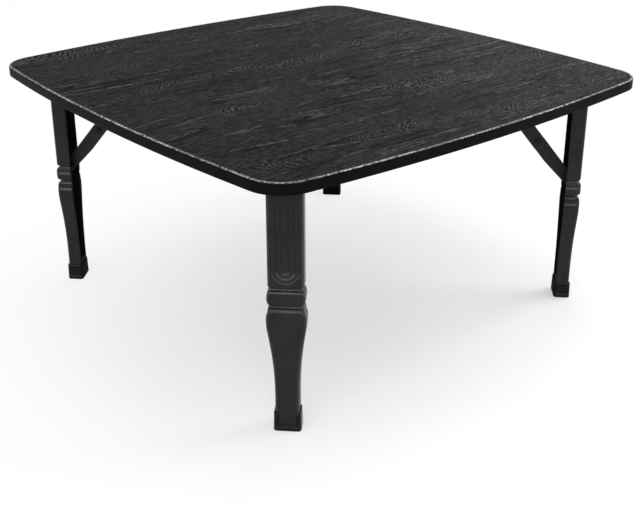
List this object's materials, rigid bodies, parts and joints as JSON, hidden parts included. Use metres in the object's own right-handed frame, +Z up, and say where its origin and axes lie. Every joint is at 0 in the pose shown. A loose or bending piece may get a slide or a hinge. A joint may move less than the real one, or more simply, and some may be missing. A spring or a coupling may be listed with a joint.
{
  "type": "folding coffee table",
  "caption": "Low square table with bowed sides, a dark wood-grain top and moulded baluster legs that fold flat under it on two-link stays.",
  "frame": {"origin": "centre of the table, on the floor between the feet", "axes": "+Z up, +X along the grain of the top, X and Y square to the sides, with a leg on each diagonal"},
  "size_m": [0.6, 0.6, 0.3],
  "materials": {
    "laminate": "satin, embossed wood grain",
    "fibreboard": "pressed board faced with a plain dark film",
    "edge_band": "satin",
    "leg_plastic": "semi-gloss, moulded",
    "foot_plastic": "satin",
    "rail_steel": "black, satin",
    "stay_steel": "black, satin",
    "pin_steel": "darkened steel"
  },
  "bodies": {
    "root": {"top_board": "fibreboard", "top_laminate": "laminate", "edge_band": "edge_band", "rail_front_left": "rail_steel", "stay_rail_pin_front_left": "pin_steel", "rail_front_right": "rail_steel", "stay_rail_pin_front_right": "pin_steel", "rail_rear_right": "rail_steel", "stay_rail_pin_rear_right": "pin_steel", "rail_rear_left": "rail_steel", "stay_rail_pin_rear_left": "pin_steel"},
    "leg_front_left": {"leg_front_left": "leg_plastic", "foot_front_left": "foot_plastic", "leg_pin_front_left": "pin_steel", "stay_leg_pin_front_left": "pin_steel"},
    "stay_upper_front_left": {"stay_upper_front_left": "stay_steel", "knee_rivet_front_left": "pin_steel"},
    "stay_lower_front_left": {"stay_lower_front_left": "stay_steel", "knee_rivet_tail_front_left": "pin_steel"},
    "leg_front_right": {"leg_front_right": "leg_plastic", "foot_front_right": "foot_plastic", "leg_pin_front_right": "pin_steel", "stay_leg_pin_front_right": "pin_steel"},
    "stay_upper_front_right": {"stay_upper_front_right": "stay_steel", "knee_rivet_front_right": "pin_steel"},
    "stay_lower_front_right": {"stay_lower_front_right": "stay_steel", "knee_rivet_tail_front_right": "pin_steel"},
    "leg_rear_right": {"leg_rear_right": "leg_plastic", "foot_rear_right": "foot_plastic", "leg_pin_rear_right": "pin_steel", "stay_leg_pin_rear_right": "pin_steel"},
    "stay_upper_rear_right": {"stay_upper_rear_right": "stay_steel", "knee_rivet_rear_right": "pin_steel"},
    "stay_lower_rear_right": {"stay_lower_rear_right": "stay_steel", "knee_rivet_tail_rear_right": "pin_steel"},
    "leg_rear_left": {"leg_rear_left": "leg_plastic", "foot_rear_left": "foot_plastic", "leg_pin_rear_left": "pin_steel", "stay_leg_pin_rear_left": "pin_steel"},
    "stay_upper_rear_left": {"stay_upper_rear_left": "stay_steel", "knee_rivet_rear_left": "pin_steel"},
    "stay_lower_rear_left": {"stay_lower_rear_left": "stay_steel", "knee_rivet_tail_rear_left": "pin_steel"}
  },
  "joints": [
    {"name": "leg_fold_front_left", "type": "hinge", "parent": "root", "child": "leg_front_left", "pos_m": [-0.22982, -0.22982, 0.2695], "axis": [0.7071, -0.7071, 0], "range_deg": [0, 90]},
    {"name": "stay_head_front_left", "type": "hinge", "parent": "root", "child": "stay_upper_front_left", "pos_m": [-0.16371, -0.16371, 0.2755], "axis": [0.7071, -0.7071, 0], "range_deg": [0, 128.88]},
    {"name": "stay_foot_front_left", "type": "hinge", "parent": "leg_front_left", "child": "stay_lower_front_left", "pos_m": [-0.22791, -0.22791, 0.1613], "axis": [0.7071, -0.7071, 0], "range_deg": [-138.18, 0]},
    {"name": "leg_fold_front_right", "type": "hinge", "parent": "root", "child": "leg_front_right", "pos_m": [0.22982, -0.22982, 0.2695], "axis": [0.7071, 0.7071, 0], "range_deg": [0, 90]},
    {"name": "stay_head_front_right", "type": "hinge", "parent": "root", "child": "stay_upper_front_right", "pos_m": [0.16371, -0.16371, 0.2755], "axis": [0.7071, 0.7071, 0], "range_deg": [0, 128.88]},
    {"name": "stay_foot_front_right", "type": "hinge", "parent": "leg_front_right", "child": "stay_lower_front_right", "pos_m": [0.22791, -0.22791, 0.1613], "axis": [0.7071, 0.7071, 0], "range_deg": [-138.18, 0]},
    {"name": "leg_fold_rear_right", "type": "hinge", "parent": "root", "child": "leg_rear_right", "pos_m": [0.22982, 0.22982, 0.2695], "axis": [-0.7071, 0.7071, 0], "range_deg": [0, 90]},
    {"name": "stay_head_rear_right", "type": "hinge", "parent": "root", "child": "stay_upper_rear_right", "pos_m": [0.16371, 0.16371, 0.2755], "axis": [-0.7071, 0.7071, 0], "range_deg": [0, 128.88]},
    {"name": "stay_foot_rear_right", "type": "hinge", "parent": "leg_rear_right", "child": "stay_lower_rear_right", "pos_m": [0.22791, 0.22791, 0.1613], "axis": [-0.7071, 0.7071, 0], "range_deg": [-138.18, 0]},
    {"name": "leg_fold_rear_left", "type": "hinge", "parent": "root", "child": "leg_rear_left", "pos_m": [-0.22982, 0.22982, 0.2695], "axis": [-0.7071, -0.7071, 0], "range_deg": [0, 90]},
    {"name": "stay_head_rear_left", "type": "hinge", "parent": "root", "child": "stay_upper_rear_left", "pos_m": [-0.16371, 0.16371, 0.2755], "axis": [-0.7071, -0.7071, 0], "range_deg": [0, 128.88]},
    {"name": "stay_foot_rear_left", "type": "hinge", "parent": "leg_rear_left", "child": "stay_lower_rear_left", "pos_m": [-0.22791, 0.22791, 0.1613], "axis": [-0.7071, -0.7071, 0], "range_deg": [-138.18, 0]}
  ],
  "couplings": [
    {"joint": "stay_head_front_left", "follows": "leg_fold_front_left", "ratio": 1.4319},
    {"joint": "stay_foot_front_left", "follows": "leg_fold_front_left", "ratio": -1.5352},
    {"joint": "stay_head_front_right", "follows": "leg_fold_front_right", "ratio": 1.4319},
    {"joint": "stay_foot_front_right", "follows": "leg_fold_front_right", "ratio": -1.5352},
    {"joint": "stay_head_rear_right", "follows": "leg_fold_rear_right", "ratio": 1.4319},
    {"joint": "stay_foot_rear_right", "follows": "leg_fold_rear_right", "ratio": -1.5352},
    {"joint": "stay_head_rear_left", "follows": "leg_fold_rear_left", "ratio": 1.4319},
    {"joint": "stay_foot_rear_left", "follows": "leg_fold_rear_left", "ratio": -1.5352}
  ]
}
